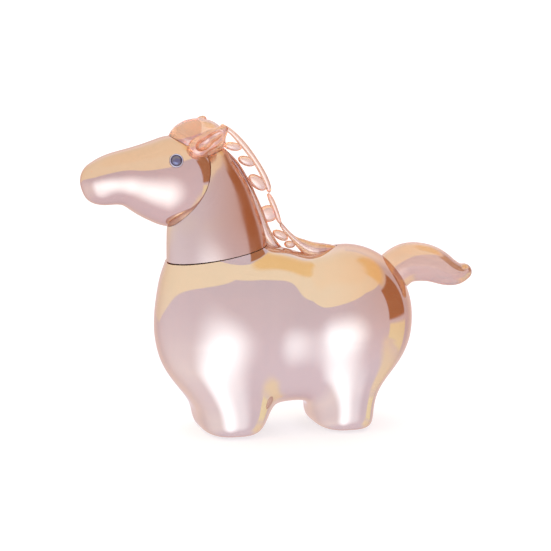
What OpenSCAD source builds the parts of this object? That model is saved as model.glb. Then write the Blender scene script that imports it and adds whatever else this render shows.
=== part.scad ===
// Crystal horse figurine: a chubby standing horse made of bonded and fused pieces of solid crystal.
// The horse faces -X, its left side faces -Y, and its feet stand on Z = 0.

/* [Whole figure] */
// Length from the nose to the tip of the tail
overall_length = 105; // [70:1:180]

/* [Body] */
// Width of the body at the shoulders, as a share of the length
shoulder_share = 0.354; // [0.30:0.002:0.40]
// Width of the body at the haunches, as a share of the length
haunch_share = 0.366; // [0.30:0.002:0.42]
// Distance between the middles of the left and right foot, as a share of the length
foot_spread_share = 0.155; // [0.13:0.005:0.18]

/* [Neck and head] */
// Width of the neck where it meets the shoulders, as a share of the length
neck_share = 0.234; // [0.20:0.002:0.25]
// Width of the head over the cheeks, as a share of the length
head_share = 0.186; // [0.16:0.002:0.20]
// Lift of the left ear above level, in degrees
ear_lift_left = 29; // [22:1:40]
// Lift of the right ear above level, in degrees
ear_lift_right = 38; // [22:1:45]

/* [Mane] */
// Thickness of the mane across the neck, as a share of the length
mane_share = 0.038; // [0.030:0.002:0.046]

/* [Eyes] */
// Diameter of each eye stone
eye_d = 2.7; // [2.2:0.1:3.2]
// Wall of the cup that holds a stone
cup_wall = 0.45; // [0.35:0.05:0.6]

/* [Bonds] */
// Thickness of the adhesive films
film_t = 0.2; // [0.1:0.05:0.3]

/* [Hidden] */

// Every length below is for a figure 105 long, and u brings it to the chosen length.
u = overall_length / 105;
shoulder_w = shoulder_share * overall_length;
haunch_w = haunch_share * overall_length;
foot_spread = foot_spread_share * overall_length;
neck_w = neck_share * overall_length;
head_w = head_share * overall_length;
mane_w = mane_share * overall_length;

egg_fn = 40;
ring_fn = 32;
strand_fn = 14;
drop_fn = 24;
edge_fn = 24;
seat_fn = 64;
cup_fn = 48;
stone_fn = 8;

coat = "#dcb894";
pale_coat = "#ead2bb";
stone = "#3a3a44";
metal = "#d8d8dc";
glue = "#f2efe6";

// Neck seat on the shoulders: middle of its base, its tilt, and the half length of its base
neck_at = [-16.8, 46.9] * u;
neck_tilt = 9.1;
neck_half = 13.6 * u;

// Height over a seat that is kept clear for the piece on it, and how far the bonds stay inside a joint
seat_room = 12 * u;
bond_inset = 1.0 * u;

// Feet: middle of each pair along the body, and the radius of its round ends
fore_foot_x = -14.6 * u;
fore_foot_r = 7.8 * u;
haunch_foot_x = 15.6 * u;
haunch_foot_r = 7.6 * u;
foot_edge = 2.6 * u;
foot_h = 5.2 * u;

// The right ear stands a little further forward than the left one.
ear_shift_right = -1.6;

// Round cheek, seen from the side: the neck is cut to fit round it
cheek_at = [-28.6, 0, 65.6] * u;
cheek_r = 11.7 * u;

// Tail seat on the rump: its middle, the direction in which the tail leaves it, and its radius
tail_at = [29.6, 38.6] * u;
tail_tilt = 41.2;
tail_r = 5.3 * u;

// Left eye: its middle on the cheek, and how far the stones turn down and forwards
eye_at = [-29.5, -8.3, 71.8] * u;
eye_turn = [-14, 0, -8];
cup_d = eye_d + 2 * cup_wall;
cup_depth = 1.5 * u;
cup_floor = 0.4 * u;
cup_lip = 0.25 * u;
stone_back = 0.9 * u;
stone_girdle = 0.2 * u;
stone_crown = 0.5 * u;
stone_table = 0.59 * eye_d;
stone_tip = 0.25 * eye_d;

// The outlines below are stations: two points x, z and x, z on opposite sides, and the half width.
// Seen from the left side, the first point is on the right hand when one looks along the stations.
head_stations = [
  [-52.5, 66.2, -52.5, 67.6, 0.7], [-51.6, 63.4, -51.6, 70.0, 3.7], [-48.8, 60.9, -49.2, 71.6, 5.6],
  [-44.5, 60.3, -44.6, 73.0, 6.3], [-40.4, 59.8, -39.8, 74.2, 7.0], [-35.6, 57.4, -34.8, 75.4, 8.1],
  [-32.0, 55.0, -31.4, 76.7, 9.2], [-28.6, 53.9, -28.2, 77.3, 9.6], [-23.1, 55.3, -23.7, 76.2, 8.6],
  [-19.4, 58.4, -19.4, 72.8, 5.9], [-17.3, 62.6, -17.3, 68.6, 2.5], [-16.9, 64.8, -16.9, 66.4, 0.7]
];
neck_stations = [
  [-3.4, 49.1, -30.2, 44.8, 12.3], [-4.6, 53.2, -30.0, 49.5, 10.7], [-6.4, 57.2, -30.0, 53.8, 9.4],
  [-8.4, 62.0, -27.0, 60.0, 8.0], [-10.7, 66.6, -23.5, 66.0, 6.8], [-13.6, 70.8, -20.0, 71.0, 4.8],
  [-15.2, 73.0, -17.4, 73.4, 1.6]
];
tail_stations = [
  [32.9, 34.4, 25.8, 42.4, 5.3], [34.8, 36.2, 30.2, 45.8, 5.4], [37.2, 36.8, 35.8, 47.2, 5.2],
  [41.0, 36.4, 41.2, 45.9, 4.7], [44.4, 35.5, 45.2, 43.2, 4.0], [47.4, 35.4, 48.2, 41.3, 3.3],
  [50.0, 36.4, 50.6, 41.1, 2.6], [52.0, 37.9, 52.0, 40.3, 1.3], [52.4, 38.8, 52.4, 39.4, 0.5]
];
base_strip = [
  [-18.6, 72.8, -16.9, 75.6, 0.6], [-16.0, 70.8, -14.2, 72.8, 1.3], [-13.2, 67.6, -11.4, 69.7, 1.7],
  [-10.7, 62.9, -8.0, 64.3, 1.8], [-8.5, 57.4, -5.3, 58.4, 1.9], [-6.6, 52.6, -3.4, 53.4, 1.9],
  [-4.6, 48.6, -1.4, 49.3, 1.7], [-1.8, 45.8, 0.6, 47.0, 1.2], [0.8, 44.9, 1.8, 46.2, 0.5]
];
upper_strand = [
  [-15.8, 78.6, -15.2, 79.8, 0.5], [-13.6, 77.2, -12.8, 78.3, 0.9], [-10.8, 73.9, -9.4, 74.9, 1.0],
  [-7.9, 70.1, -6.4, 70.8, 1.0], [-5.4, 65.8, -3.8, 66.4, 1.0], [-4.1, 63.0, -2.6, 63.2, 0.7],
  [-3.7, 61.9, -2.9, 61.9, 0.3]
];
middle_strand = [
  [-3.8, 61.3, -2.8, 61.4, 0.4], [-3.2, 59.4, -1.8, 59.6, 0.9], [-2.1, 56.6, -0.7, 56.8, 1.0],
  [-1.1, 54.4, 0.0, 54.6, 0.7], [-0.6, 53.6, 0.2, 53.7, 0.3]
];
lower_strand = [
  [-0.4, 52.9, 0.6, 53.4, 0.4], [0.8, 51.3, 1.9, 52.0, 0.9], [2.9, 48.9, 3.8, 50.2, 1.1],
  [5.2, 46.4, 6.2, 49.2, 1.7], [8.2, 44.4, 9.0, 48.5, 2.4], [12.0, 44.8, 12.4, 47.8, 2.0],
  [15.0, 45.9, 15.2, 47.1, 0.9], [16.2, 46.3, 16.2, 46.8, 0.3]
];

// Drops of the mane: middle x and z, half length, half height, and how far the outer end is lowered
drops = [
  [-12.8, 74.0, 1.9, 1.05, 12], [-9.2, 70.1, 1.9, 1.15, 22], [-6.2, 64.4, 2.4, 1.5, 40],
  [-3.4, 56.3, 2.1, 2.0, 10], [-0.1, 50.4, 1.9, 1.1, 30], [2.4, 47.9, 1.2, 0.95, 10]
];

// Point at t along a smooth curve through the listed stations
function spline(p, t) =
  let (
    last = len(p) - 1,
    i = min(floor(t), last - 1),
    f = t - i,
    a = p[max(i - 1, 0)],
    b = p[i],
    c = p[i + 1],
    d = p[min(i + 2, last)]
  )
  b + 0.5 * f * ((c - a) + f * ((2 * a - 5 * b + 4 * c - d) + f * (3 * (b - c) + d - a)));

// Oval ring through a station's lower and upper points
function ring(s, wide, sides) =
  [for (k = [0 : sides - 1])
    let (lift = (1 + sin(360 * k / sides)) / 2)
    [s[0] + (s[2] - s[0]) * lift, s[4] * wide * cos(360 * k / sides), s[1] + (s[3] - s[1]) * lift]
  ];

// Solid through all the stations, with flat ends
module loft(stations, sides = ring_fn, steps = 3, wide = 1) {
  count = (len(stations) - 1) * steps;
  points = [for (j = [0 : count]) each ring(spline(stations, j / steps), wide, sides)];
  faces = [
    [for (k = [0 : sides - 1]) k],
    for (j = [0 : count - 1], k = [0 : sides - 1])
      let (near = j * sides, far = near + sides, next = (k + 1) % sides)
      each [[near + k, far + k, near + next], [near + next, far + k, far + next]],
    [for (k = [sides - 1 : -1 : 0]) count * sides + k]
  ];
  scale(u) polyhedron(points, faces);
}

// Greatest width in a list of stations
function widest(stations) = 2 * u * max([for (s = stations) s[4]]);

// One mesh of everything in it, brought to the given width, or left at its own size by a width of 0
module fused(width = 0) {
  resize([0, width, 0]) union() children();
}

module egg(at, radii) {
  translate(at) scale(radii) sphere(1, $fn = egg_fn);
}

// Foot with a ground flat and a rounded edge
module foot_pad(x, side, r) {
  translate([x, side * foot_spread / 2, 0])
    rotate_extrude($fn = egg_fn) {
      square([r - foot_edge, foot_h]);
      translate([r - foot_edge, foot_edge]) circle(foot_edge, $fn = edge_fn);
    }
}

// One broad lobe that runs down into a pair of feet
module lobe(at, radii, foot_x, foot_r) {
  hull() {
    egg(at, radii);
    for (side = [-1, 1]) foot_pad(foot_x, side, foot_r);
  }
}

// Filling between belly and one pair of legs, which leaves a low arch over the ground
module belly_web(foot_x, foot_r) {
  hull()
    for (side = [-1, 1]) {
      egg([0.2, side * 6.8, 19.4] * u, [8.4, 9.0, 11.2] * u);
      egg([foot_x, side * foot_spread / 2, 9.0 * u], [foot_r, foot_r, 7.0 * u]);
    }
}

// Haunches, chest and belly over the feet, then shoulders, rump, middle, root of the neck and withers
module body_form() {
  lobe([15.5, 0, 20.0] * u, [10.8, 15.6, 11.0] * u, haunch_foot_x, haunch_foot_r);
  lobe([-15.0, 0, 26.0] * u, [16.0, 17.0, 15.0] * u, fore_foot_x, fore_foot_r);
  belly_web(fore_foot_x, fore_foot_r);
  belly_web(haunch_foot_x, haunch_foot_r);
  egg([-14.2, 0, 28.5] * u, [19.5 * u, shoulder_w / 2, 20.6 * u]);
  egg([17.9, 0, 29.0] * u, [17.2 * u, haunch_w / 2, 18.4 * u]);
  egg([1.6, 0, 27.0] * u, [17.0, 16.4, 18.4] * u);
  egg([-19.0, 0, 37.6] * u, [11.9, 11.2, 10.6] * u);
  egg([-4.0, 0, 38.0] * u, [14.0, 12.0, 9.6] * u);
}

// Everything that stands on the neck seat: a straight column over its flat floor
module neck_seat(drop = 0) {
  translate([neck_at[0], 0, neck_at[1]])
    rotate([0, -neck_tilt, 0])
      translate([0, 0, -drop])
        linear_extrude(seat_room)
          scale([neck_half, neck_w / 2]) circle(1, $fn = seat_fn);
}

// Straight hole on the tail's line, with its floor where the tail is seated
module tail_seat(from = 0, length = seat_room, r = tail_r) {
  translate([tail_at[0], 0, tail_at[1]])
    rotate([0, 90 - tail_tilt, 0])
      translate([0, 0, from]) cylinder(length, r = r, $fn = seat_fn);
}

module on_eye(side) {
  mirror([0, side > 0 ? 1 : 0, 0])
    translate(eye_at)
      rotate([0, 0, eye_turn[2]])
        rotate([90 + eye_turn[0], 0, 0]) children();
}

// Head, or with grow the room it needs in the neck for a film of adhesive that thick
module head_form(grow = 0) {
  translate(cheek_at)
    scale(1 + grow / cheek_r)
      translate(-cheek_at) loft(head_stations, wide = head_w / widest(head_stations));
}

module neck_form() {
  loft(neck_stations, wide = neck_w / widest(neck_stations));
}

module strand(stations) {
  loft(stations, sides = strand_fn, wide = mane_w / widest(base_strip));
}

module forelock_form() {
  egg([-22.6, 0, 75.6] * u, [7.9, 5.8, 5.9] * u);
}

// Scooped leaf that leans back and out from the poll
module ear_form(side, lift, shift) {
  translate([-24.9 + shift, side * 6.1, 74.0] * u)
    rotate([side * 12, -lift, side * 4])
      difference() {
        hull() {
          egg([1.3, 0, 0] * u, [2.4, 1.9, 2.3] * u);
          egg([5.2, 0, 0.2] * u, [3.2, 1.6, 2.4] * u);
          egg([9.6, 0, 0.5] * u, [1.0, 0.9, 1.0] * u);
        }
        hull() {
          egg([2.2, side * 1.9, 0] * u, [1.3, 1.3, 1.3] * u);
          egg([5.2, side * 1.7, 0.2] * u, [2.1, 1.2, 1.5] * u);
          egg([8.2, side * 1.4, 0.4] * u, [0.8, 0.8, 0.5] * u);
        }
      }
}

module body() {
  color(coat)
    fused(haunch_w)
      difference() {
        body_form();
        neck_seat(drop = film_t);
        neck_form();
        tail_seat(from = -film_t);
        strand(lower_strand);
        strand(base_strip);
      }
}

module neck() {
  color(coat)
    fused(neck_w)
      difference() {
        neck_form();
        head_form(grow = film_t);
        strand(base_strip);
      }
}

module head() {
  color(coat)
    fused()
      difference() {
        head_form();
        for (side = [-1, 1]) on_eye(side) cylinder(2 * cup_depth, d = cup_d, center = true, $fn = cup_fn);
      }
}

module forelock() {
  color(pale_coat)
    fused()
      difference() {
        forelock_form();
        head_form();
        neck_form();
        // Room for the upper end of the neck's crest
        egg([-15.6, 0, 71.2] * u, [3.0, 5.0, 2.8] * u);
      }
}

module ear(side, lift, shift) {
  color(pale_coat)
    fused()
      difference() {
        ear_form(side, lift, shift);
        head_form();
        forelock_form();
        neck_form();
      }
}

module ear_left() ear(-1, ear_lift_left, 0);
module ear_right() ear(1, ear_lift_right, ear_shift_right);

module mane_base() {
  color(pale_coat) strand(base_strip);
}

module mane_strand_upper() {
  color(pale_coat) strand(upper_strand);
}

module mane_strand_middle() {
  color(pale_coat) strand(middle_strand);
}

module mane_strand_lower() {
  color(pale_coat) strand(lower_strand);
}

module mane_locks() {
  color(pale_coat)
    fused()
      difference() {
        for (d = drops)
          translate([d[0], 0, d[1]] * u)
            rotate([0, d[4], 0])
              scale([d[2] * u, mane_w / 4, d[3] * u]) sphere(1, $fn = drop_fn);
        strand(base_strip);
        strand(upper_strand);
        strand(middle_strand);
        strand(lower_strand);
        neck_form();
        body_form();
      }
}

module tail() {
  color(pale_coat)
    fused()
      difference() {
        loft(tail_stations);
        difference() {
          body_form();
          tail_seat();
        }
      }
}

// Cut stone: a tapered back, a girdle, and sloping crown facets round a flat table
module eye(side) {
  color(stone)
    on_eye(side)
      translate([0, 0, -stone_girdle / 4]) {
        translate([0, 0, -stone_back])
          cylinder(stone_back, d1 = stone_tip, d2 = eye_d, $fn = stone_fn);
        cylinder(stone_girdle, d = eye_d, $fn = stone_fn);
        translate([0, 0, stone_girdle])
          cylinder(stone_crown, d1 = eye_d, d2 = stone_table, $fn = stone_fn);
      }
}

module eye_left() eye(-1);
module eye_right() eye(1);

module eye_cup(side) {
  color(metal)
    on_eye(side)
      translate([0, 0, -cup_depth])
        difference() {
          cylinder(cup_depth + cup_lip, d = cup_d, $fn = cup_fn);
          translate([0, 0, cup_floor]) cylinder(2 * cup_depth, d = eye_d, $fn = cup_fn);
        }
}

module eye_cup_left() eye_cup(-1);
module eye_cup_right() eye_cup(1);

module neck_bond() {
  color(glue)
    translate([neck_at[0], 0, neck_at[1]])
      rotate([0, -neck_tilt, 0])
        translate([0, 0, -film_t])
          linear_extrude(film_t)
            scale([neck_half - bond_inset, neck_w / 2 - bond_inset]) circle(1, $fn = seat_fn);
}

// Patch of film over the part of the cheek that the neck holds
module head_bond() {
  color(glue)
    fused()
      intersection() {
        difference() {
          head_form(grow = film_t);
          head_form();
        }
        translate([-25, -4, 50] * u) cube([12, 8, 19] * u);
      }
}

module tail_bond() {
  color(glue) tail_seat(from = -film_t, length = film_t, r = tail_r - bond_inset);
}

body();
neck();
head();
forelock();
ear_left();
ear_right();
mane_base();
mane_strand_upper();
mane_strand_middle();
mane_strand_lower();
mane_locks();
tail();
eye_left();
eye_right();
eye_cup_left();
eye_cup_right();
neck_bond();
head_bond();
tail_bond();
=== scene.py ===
import math

import bpy
import numpy as np
from mathutils import Matrix, Vector


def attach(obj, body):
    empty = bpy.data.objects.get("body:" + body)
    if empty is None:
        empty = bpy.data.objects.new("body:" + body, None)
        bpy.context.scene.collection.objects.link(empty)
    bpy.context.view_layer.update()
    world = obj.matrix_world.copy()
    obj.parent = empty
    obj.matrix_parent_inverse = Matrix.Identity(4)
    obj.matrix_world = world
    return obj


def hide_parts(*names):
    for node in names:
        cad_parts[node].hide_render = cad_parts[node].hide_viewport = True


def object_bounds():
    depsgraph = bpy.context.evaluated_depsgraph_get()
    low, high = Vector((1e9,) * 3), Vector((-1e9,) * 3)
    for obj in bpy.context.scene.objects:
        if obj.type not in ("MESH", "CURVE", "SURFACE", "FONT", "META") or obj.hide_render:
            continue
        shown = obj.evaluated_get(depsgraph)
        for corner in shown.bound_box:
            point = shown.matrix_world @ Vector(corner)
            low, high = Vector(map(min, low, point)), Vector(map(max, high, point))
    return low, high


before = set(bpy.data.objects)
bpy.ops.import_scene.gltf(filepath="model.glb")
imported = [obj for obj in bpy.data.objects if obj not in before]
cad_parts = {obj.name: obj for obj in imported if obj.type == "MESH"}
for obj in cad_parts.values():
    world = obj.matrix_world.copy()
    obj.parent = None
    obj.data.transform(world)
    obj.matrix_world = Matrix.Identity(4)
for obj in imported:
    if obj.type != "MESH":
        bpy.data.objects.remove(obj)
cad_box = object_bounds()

# Coated crystal horse. Shapes are given in figure units: the figure is FIGURE_LENGTH of them long,
# x runs from nose to tail, z is up, and the left side of the horse is at negative y.
FIGURE_LENGTH = 105.0
UNIT = (cad_box[1].x - cad_box[0].x) / FIGURE_LENGTH
BODY = "root"
JOINT_GAP = 0.04      # between pieces that touch
FILM = 0.2            # adhesive under the neck and the tail
NECK_LEDGE = 1.4      # width of the flat that is cleared in the body round the neck's base

# How the surfaces are worked out
GRADIENT_STEP = 0.01
BOX_MARGIN = 4.0      # further than this from its box, a limb only gives the distance to the box
NEWTON_STEPS = 6
FLATTEST = -1e-3      # a slope of the error closer to 0 than this is not followed
COARSE = 4            # grid steps between the first, rough samples
NEAR_STEPS = 10       # points within this many grid steps of the surface are worked out exactly
CROSSING_STEPS = 3    # of false position, towards where a grid edge crosses the surface
PULL = 0.12           # of a cell's vertex towards the middle of its crossings
SETTLE_STEPS = 2      # of a vertex along its normal, on to the surface


# ---------------------------------------------------------------- smooth solid fields
# A field is a function of an (n, 3) array of points. It is negative inside the solid.

def egg(at, radii, lean=0.0):
    """Ellipsoid, turned by lean degrees in the side view (positive lifts its tail end)."""
    at, radii = np.array(at, float), np.array(radii, float)
    c, s = math.cos(math.radians(lean)), math.sin(math.radians(lean))

    def field(p):
        q = p - at
        q = np.stack([c * q[:, 0] + s * q[:, 2], q[:, 1], c * q[:, 2] - s * q[:, 0]], 1)
        return oval(q, radii)

    return field


class Curve:
    """Natural cubic spline through the rows: t is 0 at the first row, 1 at the second, and so on."""

    def __init__(self, rows):
        self.rows = np.array(rows, float)
        count = len(self.rows)
        system, right = np.eye(count), np.zeros_like(self.rows)
        for i in range(1, count - 1):
            system[i, i - 1:i + 2] = 1, 4, 1
            right[i] = 6 * (self.rows[i + 1] - 2 * self.rows[i] + self.rows[i - 1])
        self.bend = np.linalg.solve(system, right)
        self.last = count - 1

    def at(self, t):
        """Value, first derivative and second derivative at each t."""
        i = np.clip(t.astype(int), 0, self.last - 1)
        f = (t - i)[:, None]
        g = 1 - f
        a, b, m, n = self.rows[i], self.rows[i + 1], self.bend[i], self.bend[i + 1]
        value = g * a + f * b + ((g ** 3 - g) * m + (f ** 3 - f) * n) / 6
        slope = b - a + ((1 - 3 * g ** 2) * m + (3 * f ** 2 - 1) * n) / 6
        return value, slope, g * m + f * n


def oval(q, r):
    """Distance from an ellipsoid of radii r, nearly true close to its surface."""
    k = np.linalg.norm(q / r, axis=1)
    g = np.linalg.norm(q / r ** 2, axis=1)
    return np.where(g > 1e-9, k * (k - 1) / np.maximum(g, 1e-9), -np.min(r, axis=-1))


def limb(stations, samples=5):
    """Round-ended sweep along stations (x, z, radius in the side view, half width).

    Samples is the number of first guesses for each stretch between two stations.
    """
    curve = Curve(stations)
    tries = np.linspace(0, curve.last, curve.last * samples + 1)
    rows = curve.at(tries)[0]
    reach = rows[:, [2, 3, 2]]
    middle = np.stack([rows[:, 0], 0 * rows[:, 0], rows[:, 1]], 1)
    low, high = (middle - reach).min(0), (middle + reach).max(0)

    def field(p):
        value = np.max(np.maximum(low - p, p - high), axis=1)
        close = value < BOX_MARGIN
        value[close] = near_field(p[close])
        return value

    def near_field(p):
        """Envelope of the ellipsoids along the curve: t is where a point lies deepest."""
        side, across = p[:, [0, 2]], p[:, 1] ** 2
        best, t = np.full(len(p), np.inf), np.zeros(len(p))
        for place, row in zip(tries, rows):
            depth = np.sum((side - row[:2]) ** 2, axis=1) / row[2] ** 2 + across / row[3] ** 2
            t = np.where(depth < best, place, t)
            best = np.minimum(depth, best)
        for _ in range(NEWTON_STEPS):
            row, slope, bend = curve.at(t)
            d = side - row[:, :2]
            far = np.sum(d ** 2, axis=1)
            along = np.sum(d * slope[:, :2], axis=1)
            (r, w), (r1, w1), (r2, w2) = row[:, 2:].T, slope[:, 2:].T, bend[:, 2:].T
            swell = across * r ** 2 / w ** 3
            error = along + far * r1 / r + swell * w1
            change = (np.sum(d * bend[:, :2], axis=1) - np.sum(slope[:, :2] ** 2, axis=1)
                      - 2 * along * r1 / r + far * (r2 / r - (r1 / r) ** 2)
                      + swell * (w2 + 2 * w1 * r1 / r - 3 * w1 ** 2 / w))
            step = np.where(change < FLATTEST, -error / np.minimum(change, FLATTEST), 0)
            t = np.clip(t + np.clip(step, -0.5 / samples, 0.5 / samples), 0, curve.last)
        row = curve.at(t)[0]
        q = np.stack([p[:, 0] - row[:, 0], p[:, 2] - row[:, 1], p[:, 1]], 1)
        return oval(q, row[:, [2, 2, 3]])

    return field


def pillar(rise, stations, corner=2.8, cap=9.0):
    """Upright block with a domed top: middle x, half length and half width at z = 0, rise, 2 rise..."""
    curve = Curve(stations)

    def field(p):
        x, half, wide = curve.at(np.clip(p[:, 2] / rise, 0, curve.last))[0].T
        k = (np.abs((p[:, 0] - x) / half) ** corner + np.abs(p[:, 1] / wide) ** corner) ** (1 / corner)
        around, above = (k - 1) * half, p[:, 2] - rise * curve.last
        h = np.maximum(cap - np.abs(around - above), 0) / cap
        return np.maximum(around, above) + h ** 3 * cap / 6

    return field


def plane(at, normal):
    """Half space below the plane through at."""
    at, normal = np.array(at, float), np.array(normal, float)
    return lambda p: (p - at) @ (normal / np.linalg.norm(normal))


def joined(width, *fields):
    """Smooth union, with fillets about that wide."""

    def field(p):
        d = fields[0](p)
        for other in fields[1:]:
            e = other(p)
            h = np.maximum(width - np.abs(d - e), 0) / width
            d = np.minimum(d, e) - h ** 3 * width / 6
        return d

    return field


def common(width, *fields):
    """Smooth intersection, with an edge rounded about that wide."""
    inverse = joined(width, *[outside(f) for f in fields])
    return lambda p: -inverse(p)


def both(*fields):
    """Sharp intersection."""
    return lambda p: np.max([f(p) for f in fields], axis=0)


def outside(field, gap=0.0):
    """Everything further than gap from the field's solid."""
    return lambda p: gap - field(p)


def mirrored(field):
    return lambda p: field(p * (1, -1, 1))


def turned(field, at, angles):
    """The field turned by angles (degrees about x, y and z) and moved from the origin to at."""
    turn = np.array(
        Matrix.Rotation(math.radians(angles[2]), 3, "Z")
        @ Matrix.Rotation(math.radians(angles[1]), 3, "Y")
        @ Matrix.Rotation(math.radians(angles[0]), 3, "X")
    )
    return lambda p: field((p - np.array(at, float)) @ turn)


# ---------------------------------------------------------------- from fields to meshes

def gradient(field, p):
    steps = np.eye(3) * GRADIENT_STEP
    g = np.stack([field(p + s) - field(p - s) for s in steps], 1)
    return g / np.maximum(np.linalg.norm(g, axis=1, keepdims=True), 1e-12)


def contour(fields, low, high, step):
    """Dual contour of the solid inside all the fields: points, and quads facing outwards."""
    whole = both(*fields)
    low = np.array(low, float) - 2.3 * step
    shape = np.ceil((np.array(high, float) - low) / step).astype(int) + 4
    axes = [low[a] + step * np.arange(shape[a]) for a in range(3)]
    grid = np.stack(np.meshgrid(*axes, indexing="ij"), -1)
    rough = whole(grid[::COARSE, ::COARSE, ::COARSE].reshape(-1, 3)).reshape(-(-shape // COARSE))
    for a in range(3):
        rough = np.take(np.repeat(rough, COARSE, a), range(shape[a]), a)
    grid = grid.reshape(-1, 3)
    value = rough.ravel()
    close = np.abs(value) < NEAR_STEPS * step
    value[close] = whole(grid[close])
    value = value.reshape(shape)
    inside = value < 0
    cells = np.zeros(shape - 1, int)
    corners = [(slice(i, shape[0] - 1 + i), slice(j, shape[1] - 1 + j), slice(k, shape[2] - 1 + k))
               for i in (0, 1) for j in (0, 1) for k in (0, 1)]
    for c in corners:
        cells += inside[c]
    busy = (cells > 0) & (cells < 8)
    number = np.full(shape - 1, -1)
    number[busy] = np.arange(busy.sum())
    points, owners, quads = [], [], []
    for a in range(3):
        b, c = (a + 1) % 3, (a + 2) % 3
        first = np.take(inside, range(shape[a] - 1), a)
        second = np.take(inside, range(1, shape[a]), a)
        at = np.argwhere(first != second)
        end = at.copy()
        end[:, a] += 1
        p, q = low + step * at, low + step * end
        u, v = value[tuple(at.T)], value[tuple(end.T)]
        for _ in range(CROSSING_STEPS):
            t = np.clip(u / (u - v), 0.02, 0.98)[:, None]
            m = p + t * (q - p)
            w = whole(m)
            same = (w < 0) == (u < 0)
            p, q = np.where(same[:, None], m, p), np.where(same[:, None], q, m)
            u, v = np.where(same, w, u), np.where(same, v, w)
        points.append(p + np.clip(u / (u - v), 0, 1)[:, None] * (q - p))
        around = []
        for db, dc in ((-1, -1), (0, -1), (0, 0), (-1, 0)):
            cell = at.copy()
            cell[:, b] += db
            cell[:, c] += dc
            around.append(number[tuple(cell.T)])
        around = np.stack(around, 1)
        owners.append(around)
        flip = ~first[tuple(at.T)]
        around = np.where(flip[:, None], around[:, ::-1], around)
        quads.append(around)
    points, owners, quads = np.vstack(points), np.vstack(owners), np.vstack(quads)
    return settle(whole, points, owners, busy.sum()), quads


def settle(whole, points, owners, count):
    """One vertex per cell, at the point that fits the crossings' tangent planes best."""
    normal = gradient(whole, points)
    cell = owners.ravel()
    n = np.repeat(normal, 4, axis=0)
    p = np.repeat(points, 4, axis=0)

    def gather(weights):
        return np.bincount(cell, weights, count)

    total = gather(np.ones(len(cell)))
    middle = np.stack([gather(p[:, a]) for a in range(3)], 1) / total[:, None]
    away = np.sum(n * (p - middle[cell]), axis=1)
    left = np.zeros((count, 3, 3))
    right = np.zeros((count, 3))
    for a in range(3):
        right[:, a] = gather(n[:, a] * away)
        for b in range(3):
            left[:, a, b] = gather(n[:, a] * n[:, b])
        left[:, a, a] += PULL
    vertex = middle + np.linalg.solve(left, right[:, :, None])[:, :, 0]
    up = gradient(whole, vertex)
    for _ in range(SETTLE_STEPS):
        vertex -= whole(vertex)[:, None] * up
    return vertex


def piece(name, fields, low, high, step, material, slot, replaces):
    """Mesh of the solid inside all the fields, with the fields' own normals, as a piece."""
    points, quads = contour(fields, low, high, step)
    mesh = bpy.data.meshes.new(name)
    mesh.from_pydata((points * UNIT).tolist(), [], quads.tolist())
    mesh.update()
    middle = points[quads].mean(1)
    part = np.argmax([f(middle) for f in fields], axis=0)
    normals = np.zeros((len(quads), 4, 3))
    for i, f in enumerate(fields):
        mine = part == i
        if mine.any():
            used, back = np.unique(quads[mine], return_inverse=True)
            normals[mine] = gradient(f, points[used])[back.reshape(-1, 4)]
    mesh.polygons.foreach_set("use_smooth", np.ones(len(quads), bool))
    mesh.normals_split_custom_set(normals.reshape(-1, 3).tolist())
    return place(name, mesh, material, slot, replaces)


def place(name, mesh, material, slot, replaces):
    mesh.materials.append(material)
    obj = bpy.data.objects.new(name, mesh)
    bpy.context.scene.collection.objects.link(obj)
    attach(obj, BODY)
    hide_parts(*replaces)
    return obj


# ---------------------------------------------------------------- materials

# Noise of the gloss: its seed, the part of its range that is used, and its scales per metre
NOISE_SEED = 0.0
NOISE_SPAN = (0.3, 0.7)
HAZE_SCALE = 140
FINE_SCALE = 900
SETTING_SCALE = 1200


def principled(name, **values):
    material = bpy.data.materials.new(name)
    material.use_nodes = True
    shader = material.node_tree.nodes["Principled BSDF"]
    for key, value in values.items():
        shader.inputs[key.replace("_", " ")].default_value = value
    return material, shader


def link_noise(material, scale, detail, low, high, target):
    """Drives a socket of the shader by noise, from low to high."""
    tree = material.node_tree
    where = tree.nodes.new("ShaderNodeTexCoord")
    noise = tree.nodes.new("ShaderNodeTexNoise")
    noise.noise_dimensions = "4D"
    noise.inputs["W"].default_value = NOISE_SEED
    noise.inputs["Scale"].default_value = scale
    noise.inputs["Detail"].default_value = detail
    ramp = tree.nodes.new("ShaderNodeMapRange")
    ramp.interpolation_type = "SMOOTHSTEP"
    ramp.inputs["From Min"].default_value = NOISE_SPAN[0]
    ramp.inputs["From Max"].default_value = NOISE_SPAN[1]
    ramp.inputs["To Min"].default_value = low
    ramp.inputs["To Max"].default_value = high
    tree.links.new(where.outputs["Object"], noise.inputs["Vector"])
    tree.links.new(noise.outputs["Fac"], ramp.inputs["Value"])
    tree.links.new(ramp.outputs["Result"], target)


def crystal(name, colour, metal, rim, rough=0.03, deep=None, tint_start=None, tint_full=None):
    """Crystal with a mirror coat: metal is the weight of the mirror over the glass.

    The tint goes from colour at the first (x, z) place to deep at the second, both in figure units; on
    the neck this deepening is a painted reflection.
    """
    material, shader = principled(
        name, Base_Color=(*colour, 1), Metallic=metal, IOR=1.55, Transmission_Weight=1.0,
        Specular_Tint=(*rim, 1))
    link_noise(material, HAZE_SCALE, 2, rough / 2, rough, shader.inputs["Roughness"])
    if deep:
        link_tint_ramp(material, colour, deep, tint_start, tint_full, shader.inputs["Base Color"])
    return material


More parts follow.
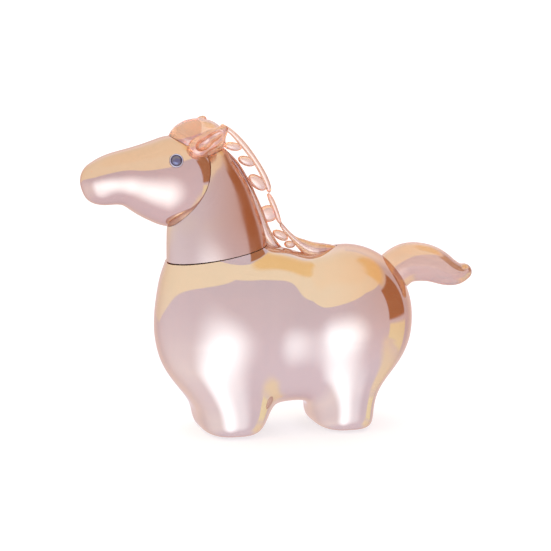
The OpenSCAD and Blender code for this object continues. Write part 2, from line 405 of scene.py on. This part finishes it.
def link_tint_ramp(material, colour, deep, tint_start, tint_full, target):
    """Tint that grows deeper with both x and z."""
    tree = material.node_tree
    where = tree.nodes.new("ShaderNodeTexCoord")
    split = tree.nodes.new("ShaderNodeSeparateXYZ")
    tree.links.new(where.outputs["Object"], split.inputs[0])
    both_ways = tree.nodes.new("ShaderNodeMath")
    both_ways.operation = "MULTIPLY"
    for i, axis in enumerate((0, 2)):
        ramp = tree.nodes.new("ShaderNodeMapRange")
        ramp.interpolation_type = "SMOOTHSTEP"
        ramp.inputs["From Min"].default_value = tint_start[i] * UNIT
        ramp.inputs["From Max"].default_value = tint_full[i] * UNIT
        tree.links.new(split.outputs[axis], ramp.inputs["Value"])
        tree.links.new(ramp.outputs["Result"], both_ways.inputs[i])
    mix = tree.nodes.new("ShaderNodeMix")
    mix.data_type = "RGBA"
    mix.inputs[6].default_value = (*colour, 1)
    mix.inputs[7].default_value = (*deep, 1)
    tree.links.new(both_ways.outputs[0], mix.inputs["Factor"])
    tree.links.new(mix.outputs[2], target)


def metal(name, colour, low, high, scale):
    material, shader = principled(name, Base_Color=(*colour, 1), Metallic=1.0)
    link_noise(material, scale, 3, low, high, shader.inputs["Roughness"])
    return material


def adhesive(name):
    material, shader = principled(
        name, Base_Color=(0.93, 0.86, 0.76, 1), IOR=1.5, Transmission_Weight=0.9)
    link_noise(material, FINE_SCALE, 3, 0.15, 0.35, shader.inputs["Roughness"])
    return material


CHAMPAGNE = (0.93, 0.78, 0.62)
AMBER = (0.90, 0.62, 0.42)
# Toffee tints the head, where it is a painted reflection, and the tail.
TOFFEE = (0.90, 0.69, 0.53)
# Copper is a painted reflection: it stands in for the warm double reflections on the neck.
COPPER_PAINTED_REFLECTION = (0.84, 0.50, 0.31)
PALE_CHAMPAGNE = (0.93, 0.74, 0.60)
ROSE_RIM = (0.72, 0.55, 0.50)
# The body's tint deepens to amber towards the top of the hindquarters.
body_coat = crystal("body_coat", CHAMPAGNE, 0.90, ROSE_RIM, 0.03, AMBER, (6, 14), (28, 36))
# The neck's tint deepens to copper towards the back and the top: painted reflection, standing in for
# warm double reflections.
neck_coat_painted_reflection = crystal("neck_coat_painted_reflection", CHAMPAGNE, 0.94, ROSE_RIM, 0.27, COPPER_PAINTED_REFLECTION, (-30, 30), (-8, 58))
# The head's warmer toffee tint, in place of champagne, is a painted reflection standing in for warm
# double reflections on the cheek.
head_coat_painted_reflection = crystal("head_coat_painted_reflection", TOFFEE, 0.90, ROSE_RIM, 0.10)
clear = crystal("clear_crystal", PALE_CHAMPAGNE, 0.5, ROSE_RIM)
tail_coat = crystal("tail_coat", TOFFEE, 0.62, ROSE_RIM)
eye_stone = metal("eye_stone", (0.24, 0.23, 0.30), 0.02, 0.06, FINE_SCALE)
eye_metal = metal("eye_setting", (0.66, 0.62, 0.64), 0.05, 0.15, SETTING_SCALE)
bond = adhesive("adhesive")

# ---------------------------------------------------------------- forms

SEAT_AT = (-16.8, 0, 46.9)
SEAT_TILT = math.radians(9.1)
SEAT_UP = (-math.sin(SEAT_TILT), 0, math.cos(SEAT_TILT))
TAIL_AT = (29.6, 0, 38.6)
TAIL_TILT = math.radians(41.2)
TAIL_OUT = (math.cos(TAIL_TILT), 0, math.sin(TAIL_TILT))
EYE_AT = (-29.5, -8.3, 71.8)
EYE_TURN = (76, 0, -8)
EYE_RADIUS = 1.35
CUP_RADIUS = 1.8
CUP_DEPTH = 1.5

barrel = joined(
    11.0,
    egg((1.2, 0, 22.4), (13.6, 15.0, 15.2)),
    pillar(6.0, [(-14.8, 7.8, 14.8), (-14.2, 9.4, 15.4), (-15.6, 11.2, 15.6),
                 (-17.2, 12.4, 15.2), (-17.2, 12.6, 14.0)]),
    pillar(6.0, [(15.4, 7.8, 14.8), (15.7, 7.7, 15.4), (16.3, 9.0, 15.6),
                 (17.2, 11.6, 15.2), (17.4, 13.6, 14.0)]),
)
torso = joined(
    8.0,
    barrel,
    egg((2.0, 0, 28.0), (12.0, 16.4, 15.0)),
    egg((-14.2, 0, 28.5), (19.3, 18.4, 20.0)),
    egg((17.6, 0, 29.2), (17.2, 19.2, 18.2)),
    egg((-18.8, 0, 39.6), (12.2, 13.6, 11.2)),
    egg((-4.0, 0, 38.0), (13.0, 11.8, 9.4)),
)
neck_form = limb([
    (-16.8, 40.9, 13.4, 12.4), (-17.2, 48.0, 13.0, 11.8), (-18.0, 54.0, 12.0, 10.2),
    (-18.6, 60.0, 10.4, 8.6), (-18.9, 65.0, 8.0, 7.0), (-18.2, 69.6, 4.9, 4.8)])
neck_root = both(neck_form, plane(SEAT_AT, SEAT_UP))
body_form = common(5.0, joined(2.0, torso, neck_root), plane((0, 0, 0), (0, 0, -1)))

head_form = joined(
    3.0,
    limb([(-47.4, 66.3, 5.2, 5.1), (-43.8, 66.8, 6.4, 6.2), (-38.6, 66.8, 7.7, 7.1),
          (-33.2, 66.0, 9.9, 8.6), (-28.6, 65.6, 11.7, 9.6)]),
    egg((-46.8, 0, 63.0), (4.2, 3.8, 2.7)),
)

forelock_form = joined(
    3.0,
    egg((-23.2, 0, 75.8), (6.8, 5.6, 5.6), lean=12),
    egg((-19.4, 0, 76.0), (4.6, 4.6, 4.4), lean=-30),
)

tail_form = limb([
    (28.0, 37.2, 5.3, 5.3), (32.5, 41.0, 5.3, 5.4), (36.5, 42.0, 5.2, 5.2), (41.1, 41.2, 4.7, 4.7),
    (44.8, 39.4, 3.9, 4.0), (47.9, 38.4, 3.0, 3.2), (50.2, 38.8, 2.2, 2.3)])

base_strip = limb([
    (-17.6, 74.0, 1.3, 0.7), (-15.1, 71.8, 1.4, 1.3), (-12.3, 68.6, 1.5, 1.7),
    (-9.4, 63.6, 1.5, 1.8), (-6.9, 57.9, 1.6, 1.9), (-5.0, 53.0, 1.6, 1.9),
    (-3.0, 49.0, 1.6, 1.7), (-0.6, 46.4, 1.3, 1.2), (1.2, 45.6, 0.8, 0.6)])
upper_strand = limb([
    (-15.5, 79.2, 0.65, 0.6), (-13.2, 77.7, 0.7, 0.9), (-10.1, 74.4, 0.85, 1.0),
    (-7.1, 70.4, 0.8, 1.0), (-4.6, 66.1, 0.85, 1.0), (-3.4, 63.1, 0.75, 0.8),
    (-3.2, 62.1, 0.4, 0.4)])
middle_strand = limb([
    (-3.3, 61.1, 0.5, 0.5), (-2.5, 59.5, 0.75, 0.9), (-1.4, 56.7, 0.75, 1.0),
    (-0.6, 54.5, 0.6, 0.7), (-0.2, 53.8, 0.4, 0.4)])
lower_strand = limb([
    (0.1, 53.2, 0.5, 0.5), (1.3, 51.6, 0.65, 0.9), (3.4, 49.5, 0.8, 1.1), (5.7, 47.8, 1.5, 1.7),
    (8.6, 46.4, 2.0, 2.3), (12.2, 46.3, 1.5, 2.0), (15.0, 46.5, 0.6, 0.9)])

# Drops of the mane: middle x and z, half length, half height, and how far the outer end is lowered
DROPS = [(-12.8, 74.0, 2.4, 1.15, 12), (-9.2, 70.1, 2.4, 1.25, 22), (-6.3, 64.5, 2.9, 1.6, 40),
         (-3.4, 56.3, 2.6, 2.2, 10), (-0.2, 50.5, 2.3, 1.2, 30), (2.3, 48.0, 1.5, 1.0, 10)]
locks_form = joined(0.01, *[egg((x, 0, z), (half, 1.0, high), -fall)
                            for x, z, half, high, fall in DROPS])


def rooted(form, at, out, gap=JOINT_GAP):
    """The room that a piece with this form takes in the body: down to its seat and the bond's film."""
    return both(lambda p: form(p) - gap, outside(plane(at, out), -FILM))


def ear_form(side, lift, shift):
    leaf = joined(1.6, egg((1.8, 0, -0.2), (2.8, 2.1, 2.6)), egg((5.4, 0, 0.0), (4.4, 1.9, 2.5)),
                  egg((9.3, 0, 0.6), (1.5, 1.0, 1.1)))
    scoop = joined(1.0, egg((3.4, side * 2.0, -0.2), (2.4, 1.9, 1.5)),
                   egg((6.6, side * 1.7, 0.2), (2.5, 1.4, 1.15)))
    cut = common(0.5, leaf, outside(scoop))
    return turned(cut, (-24.9 + shift, side * 6.1, 74.0), (side * 12, -lift, side * 4))


def on_eye(field, side):
    left = turned(field, EYE_AT, EYE_TURN)
    return mirrored(left) if side > 0 else left


def rod(radius, low, high):
    return both(lambda p: np.hypot(p[:, 0], p[:, 1]) - radius, lambda p: low - p[:, 2],
                lambda p: p[:, 2] - high)


eye_bores = [outside(on_eye(rod(CUP_RADIUS + JOINT_GAP / 2, -CUP_DEPTH, 3.0), side))
             for side in (-1, 1)]
solid_neck = both(neck_form, outside(plane(SEAT_AT, SEAT_UP)))


def build_figure():
    crystal_piece("body", [body_form, outside(rooted(neck_form, SEAT_AT, SEAT_UP, NECK_LEDGE)),
                           outside(rooted(tail_form, TAIL_AT, TAIL_OUT)),
                           outside(base_strip, JOINT_GAP), outside(lower_strand, JOINT_GAP)],
                  (-34.5, -19.8, -0.2), (36.0, 19.8, 50.5), 0.6, body_coat, "coated_crystal")
    crystal_piece("neck", [neck_form, outside(plane(SEAT_AT, SEAT_UP)),
                           outside(head_form, JOINT_GAP), outside(base_strip, JOINT_GAP)],
                  (-31.5, -13, 44), (-2.5, 13, 75), 0.45, neck_coat_painted_reflection, "coated_crystal")
    crystal_piece("head", [head_form, *eye_bores],
                  (-53.2, -10.2, 53.5), (-16.5, 10.2, 78), 0.4, head_coat_painted_reflection, "coated_crystal")
    crystal_piece("forelock", [forelock_form, outside(head_form, JOINT_GAP),
                               outside(neck_form, JOINT_GAP), outside(base_strip, JOINT_GAP)],
                  (-31, -6, 69), (-14, 6, 82), 0.25, clear, "clear_crystal")
    for name, side, lift, shift in (("ear_left", -1, 29, 0), ("ear_right", 1, 38, -1.6)):
        crystal_piece(name, [ear_form(side, lift, shift), outside(head_form, JOINT_GAP),
                             outside(forelock_form, JOINT_GAP), outside(neck_form, JOINT_GAP)],
                      (-29, min(side * 3, side * 10), 70), (-13, max(side * 3, side * 10), 84), 0.18,
                      clear, "clear_crystal")
    crystal_piece("tail", [tail_form, outside(plane(TAIL_AT, TAIL_OUT))],
                  (22, -6, 31), (53, 6, 48), 0.3, tail_coat, "clear_crystal")
    for name, form, low, high in (
            ("mane_base", base_strip, (-20, -2.5, 44), (3, 2.5, 76)),
            ("mane_strand_upper", upper_strand, (-17, -1.5, 61), (-2, 1.5, 81)),
            ("mane_strand_middle", middle_strand, (-5, -1.5, 52), (1, 1.5, 62)),
            ("mane_strand_lower", lower_strand, (-1, -2.6, 43), (17, 2.6, 54))):
        crystal_piece(name, [form], low, high, 0.22, clear, "clear_crystal")
    crystal_piece("mane_locks", [locks_form, *[outside(f, JOINT_GAP) for f in (
        base_strip, upper_strand, middle_strand, lower_strand, solid_neck, body_form)]],
        (-16, -1.5, 45), (5, 1.5, 77), 0.16, clear, "clear_crystal")


def crystal_piece(name, fields, low, high, step, material, slot):
    return piece(f"crystal_{name}", fields, low, high, step, material, slot, [name])


def eye_turn_matrix(side):
    """Turns and moves a piece drawn round the origin, with z outwards, on to the cheek."""
    turn = (Matrix.Rotation(math.radians(EYE_TURN[2]), 4, "Z")
            @ Matrix.Rotation(math.radians(EYE_TURN[0]), 4, "X"))
    move = Matrix.Translation(Vector(EYE_AT) * UNIT) @ turn @ Matrix.Scale(UNIT, 4)
    return Matrix.Scale(-1, 4, (0, 1, 0)) @ move if side > 0 else move


def rings_mesh(name, rings, side, smooth):
    """Mesh through closed rings of points, capped at both ends, on one cheek."""
    points, faces = [], []
    for ring in rings:
        points.extend(ring)
    starts = np.cumsum([0] + [len(r) for r in rings])
    for (s, e), (t, f) in zip(zip(starts, starts[1:]), zip(starts[1:], starts[2:])):
        n, m = e - s, f - t
        if n == m:
            faces += [(s + k, s + (k + 1) % n, t + (k + 1) % n, t + k) for k in range(n)]
        else:
            ratio = max(n, m) // min(n, m)
            for k in range(max(n, m)):
                if m > n:
                    i = (k // ratio) % n
                    faces.append((s + i, t + (k + 1) % m, t + k))
                    if (k + 1) % ratio == 0:
                        faces.append((s + i, s + (i + 1) % n, t + (k + 1) % m))
                else:
                    i = (k // ratio) % m
                    faces.append((s + k, s + (k + 1) % n, t + i))
                    if (k + 1) % ratio == 0:
                        faces.append((s + (k + 1) % n, t + (i + 1) % m, t + i))
    faces.append(tuple(range(starts[0], starts[1]))[::-1])
    faces.append(tuple(range(starts[-2], starts[-1])))
    mesh = bpy.data.meshes.new(name)
    mesh.from_pydata([tuple(p) for p in points], [], faces)
    mesh.transform(eye_turn_matrix(side))
    if side > 0:
        mesh.flip_normals()
    mesh.polygons.foreach_set("use_smooth", [smooth] * len(mesh.polygons))
    if smooth:
        mesh.set_sharp_from_angle(angle=math.radians(40))
    mesh.update()
    return mesh


def circle(radius, height, count, start=0.0):
    """Ring of count points; start is in steps of the ring."""
    return [(radius * math.cos(math.tau * (k + start) / count),
             radius * math.sin(math.tau * (k + start) / count), height) for k in range(count)]


def build_eyes():
    """Cut stones with a table, star, bezel and pavilion facets, in cups with a rolled lip."""
    r = EYE_RADIUS - 0.02
    stone = [circle(0.12 * r, -0.95, 8), circle(r, -0.06, 16), circle(r, 0.12, 16),
             circle(0.78 * r, 0.44, 8, 0.5), circle(0.42 * r, 0.64, 8)]
    lip = CUP_RADIUS - EYE_RADIUS
    cup = [circle(0.9, -CUP_DEPTH + 0.02, 48), circle(CUP_RADIUS - 0.1, -CUP_DEPTH + 0.1, 48),
           circle(CUP_RADIUS, -CUP_DEPTH + 0.25, 48), circle(CUP_RADIUS, 0.05, 48)]
    cup += [circle(CUP_RADIUS - lip / 2 * (1 - math.cos(a)), 0.05 + 0.28 * math.sin(a), 48)
            for a in np.radians([30, 60, 90, 120, 150, 180])]
    cup += [circle(EYE_RADIUS, -0.9, 48), circle(EYE_RADIUS - 0.3, -1.1, 48)]
    for side, word in ((-1, "left"), (1, "right")):
        name = f"cut_stone_{word}"
        place(name, rings_mesh(name, stone, side, False), eye_stone, "eye_stone", [f"eye_{word}"])
        name = f"stone_cup_{word}"
        place(name, rings_mesh(name, cup, side, True), eye_metal, "eye_setting",
              [f"eye_cup_{word}"])


def finish_bonds():
    for node in ("neck_bond", "head_bond", "tail_bond"):
        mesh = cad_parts[node].data
        mesh.materials.clear()
        mesh.materials.append(bond)


build_figure()
build_eyes()
finish_bonds()


# ---------------------------------------------------------------- studio

# Cards round the figure, as directions in degrees: azimuth is 0 towards the viewer and grows to the
# right. Each has its middle azimuth and elevation, half width, half height, softness and colour.
CARDS = [
    (-90, -30, 60, 16, 24, (0.90, 0.86, 1.04)),    # pale panel low on the left
    (112, -40, 38, 14, 10, (0.90, 0.80, 0.70)),    # cream table low on the right
    (0, 84, 200, 22, 8, (0.95, 0.82, 0.68)),       # warm ceiling
    (122, 52, 34, 14, 8, (0.92, 0.68, 0.38)),      # gold card high on the right
    (102, 15, 22, 20, 2, (0.43, 0.20, 0.12)),      # amber card on the right
    (104, -17, 22, 8, 2, (0.92, 0.86, 0.68)),      # cream card on the right
    (180, 0, 34, 42, 16, (1.10, 1.12, 1.25)),      # white backdrop
]
# Walls of the room, from low to high
ROOM_LOW = (0.76, 0.70, 0.94)
ROOM_HIGH = (0.66, 0.60, 0.78)
ROOM_SPAN = (-60, 50)
# Diffuser overhead: colour, elevation of its edge towards the viewer, and the edge's rise per degree
# of azimuth between two ends
DIFFUSER = (0.94, 0.85, 0.74)
DIFFUSER_EDGE = 30.0
DIFFUSER_SLOPE = 0.3
DIFFUSER_ENDS = (-130.0, 40.0)
DIFFUSER_SOFT = 1.5
# Key light, low on the viewer's side: colour, direction of its middle, and how far out it fades
KEY_LIGHT = (1.5, 1.7, 2.15)
KEY_AT = (-3.0, -27.0)
KEY_REACH = (56.0, 48.0)

WHITE = (1.0, 1.0, 1.0)
FLOOR_PAPER = (0.84, 0.85, 0.88)
FLOOR_REACH = 8.0
FLOOR_DROP = 0.00005


def studio_world():
    """Room of soft cards that the crystal mirrors. To the camera it is plain white."""
    world = bpy.data.worlds.new("studio")
    bpy.context.scene.world = world
    world.use_nodes = True
    tree = world.node_tree
    tree.nodes.clear()
    where = tree.nodes.new("ShaderNodeTexCoord")
    split = tree.nodes.new("ShaderNodeSeparateXYZ")
    tree.links.new(where.outputs["Generated"], split.inputs[0])

    def connect(value, socket):
        if isinstance(value, bpy.types.NodeSocket):
            tree.links.new(value, socket)
        else:
            socket.default_value = (*value, 1) if isinstance(value, tuple) else value

    def calc(operation, *values):
        node = tree.nodes.new("ShaderNodeMath")
        node.operation = operation
        for socket, value in zip(node.inputs, values):
            connect(value, socket)
        return node.outputs[0]

    def ramp(value, low, high):
        node = tree.nodes.new("ShaderNodeMapRange")
        node.interpolation_type = "SMOOTHSTEP"
        connect(value, node.inputs["Value"])
        node.inputs["From Min"].default_value = low
        node.inputs["From Max"].default_value = high
        return node.outputs["Result"]

    def mix(factor, a, b):
        node = tree.nodes.new("ShaderNodeMix")
        node.data_type = "RGBA"
        for socket, value in ((node.inputs["Factor"], factor), (node.inputs[6], a), (node.inputs[7], b)):
            connect(value, socket)
        return node.outputs[2]

    turn = math.radians(VIEW_AZIMUTH)
    x, y, z = split.outputs
    east = calc("ADD", calc("MULTIPLY", x, math.cos(turn)), calc("MULTIPLY", y, math.sin(turn)))
    north = calc("SUBTRACT", calc("MULTIPLY", y, math.cos(turn)), calc("MULTIPLY", x, math.sin(turn)))
    azimuth = calc("DEGREES", calc("ARCTAN2", east, calc("MULTIPLY", north, -1.0)))
    height = calc("DEGREES", calc("ARCSINE", z))

    def off(middle):
        """Angle from an azimuth, the short way round."""
        turned = calc("WRAP", calc("SUBTRACT", azimuth, float(middle)), 180.0, -180.0)
        return calc("ABSOLUTE", turned)

    colour = mix(ramp(height, *ROOM_SPAN), ROOM_LOW, ROOM_HIGH)
    along = calc("MINIMUM", calc("MAXIMUM", azimuth, DIFFUSER_ENDS[0]), DIFFUSER_ENDS[1])
    tilt = calc("MULTIPLY", along, DIFFUSER_SLOPE)
    edge = calc("SUBTRACT", height, tilt)
    colour = mix(ramp(edge, DIFFUSER_EDGE, DIFFUSER_EDGE + DIFFUSER_SOFT), colour, DIFFUSER)
    for middle, level, wide, tall, soft, shade in CARDS:
        across = ramp(off(middle), wide + soft, wide - soft)
        up = ramp(calc("ABSOLUTE", calc("SUBTRACT", height, float(level))), tall + soft, tall - soft)
        colour = mix(calc("MULTIPLY", across, up), colour, shade)
    key_x = calc("DIVIDE", calc("SUBTRACT", azimuth, KEY_AT[0]), KEY_REACH[0])
    key_z = calc("DIVIDE", calc("SUBTRACT", height, KEY_AT[1]), KEY_REACH[1])
    reach = calc("SQRT", calc("ADD", calc("POWER", key_x, 2.0), calc("POWER", key_z, 2.0)))
    colour = mix(ramp(reach, 1.0, 0.0), colour, KEY_LIGHT)
    path = tree.nodes.new("ShaderNodeLightPath")
    colour = mix(path.outputs["Is Camera Ray"], colour, WHITE)
    background = tree.nodes.new("ShaderNodeBackground")
    output = tree.nodes.new("ShaderNodeOutputWorld")
    tree.links.new(colour, background.inputs["Color"])
    tree.links.new(background.outputs[0], output.inputs[0])


def studio_floor():
    """Pale paper with a faint shadow. Mirror reflections pass it by and show the room instead."""
    mesh = bpy.data.meshes.new("studio_floor")
    corners = [(-FLOOR_REACH, -FLOOR_REACH, 0), (FLOOR_REACH, -FLOOR_REACH, 0),
               (FLOOR_REACH, FLOOR_REACH, 0), (-FLOOR_REACH, FLOOR_REACH, 0)]
    mesh.from_pydata(corners, [], [(0, 1, 2, 3)])
    obj = bpy.data.objects.new("studio_floor", mesh)
    bpy.context.scene.collection.objects.link(obj)
    obj.location.z = cad_box[0].z - FLOOR_DROP
    material, _ = principled(
        "floor_paper", Base_Color=(*FLOOR_PAPER, 1), Roughness=0.9,
        Emission_Color=(*WHITE, 1), Emission_Strength=0.5)
    mesh.materials.append(material)
    obj.visible_glossy = False


VIEW_AZIMUTH = -15.0
VIEW_ELEVATION = 9.5
VIEW_DISTANCE = 620 * UNIT
LENS = 155.8
AIM = (0.0, 0.0, 42.0)
AIM_LEFT = 1.43
AIM_DOWN = 2.08
SENSOR_WIDTH = 36.0
CLIP = (0.01, 20)
MAX_BOUNCES = 24
CRYSTAL_BOUNCES = 16


def camera():
    data = bpy.data.cameras.new("camera")
    data.lens, data.sensor_width = LENS, SENSOR_WIDTH
    data.clip_start, data.clip_end = CLIP
    obj = bpy.data.objects.new("camera", data)
    bpy.context.scene.collection.objects.link(obj)
    a, e = math.radians(VIEW_AZIMUTH), math.radians(VIEW_ELEVATION)
    back = Vector((math.sin(a) * math.cos(e), -math.cos(a) * math.cos(e), math.sin(e)))
    turn = (-back).to_track_quat("-Z", "Y")
    target = Vector(AIM) * UNIT + turn @ Vector((-AIM_LEFT, -AIM_DOWN, 0)) * UNIT
    obj.rotation_euler = turn.to_euler()
    obj.location = target + back * VIEW_DISTANCE
    bpy.context.scene.camera = obj


camera()
studio_world()
studio_floor()

scene = bpy.context.scene
scene.view_settings.view_transform = "Standard"
scene.cycles.max_bounces = MAX_BOUNCES
scene.cycles.transmission_bounces = CRYSTAL_BOUNCES
scene.cycles.glossy_bounces = CRYSTAL_BOUNCES
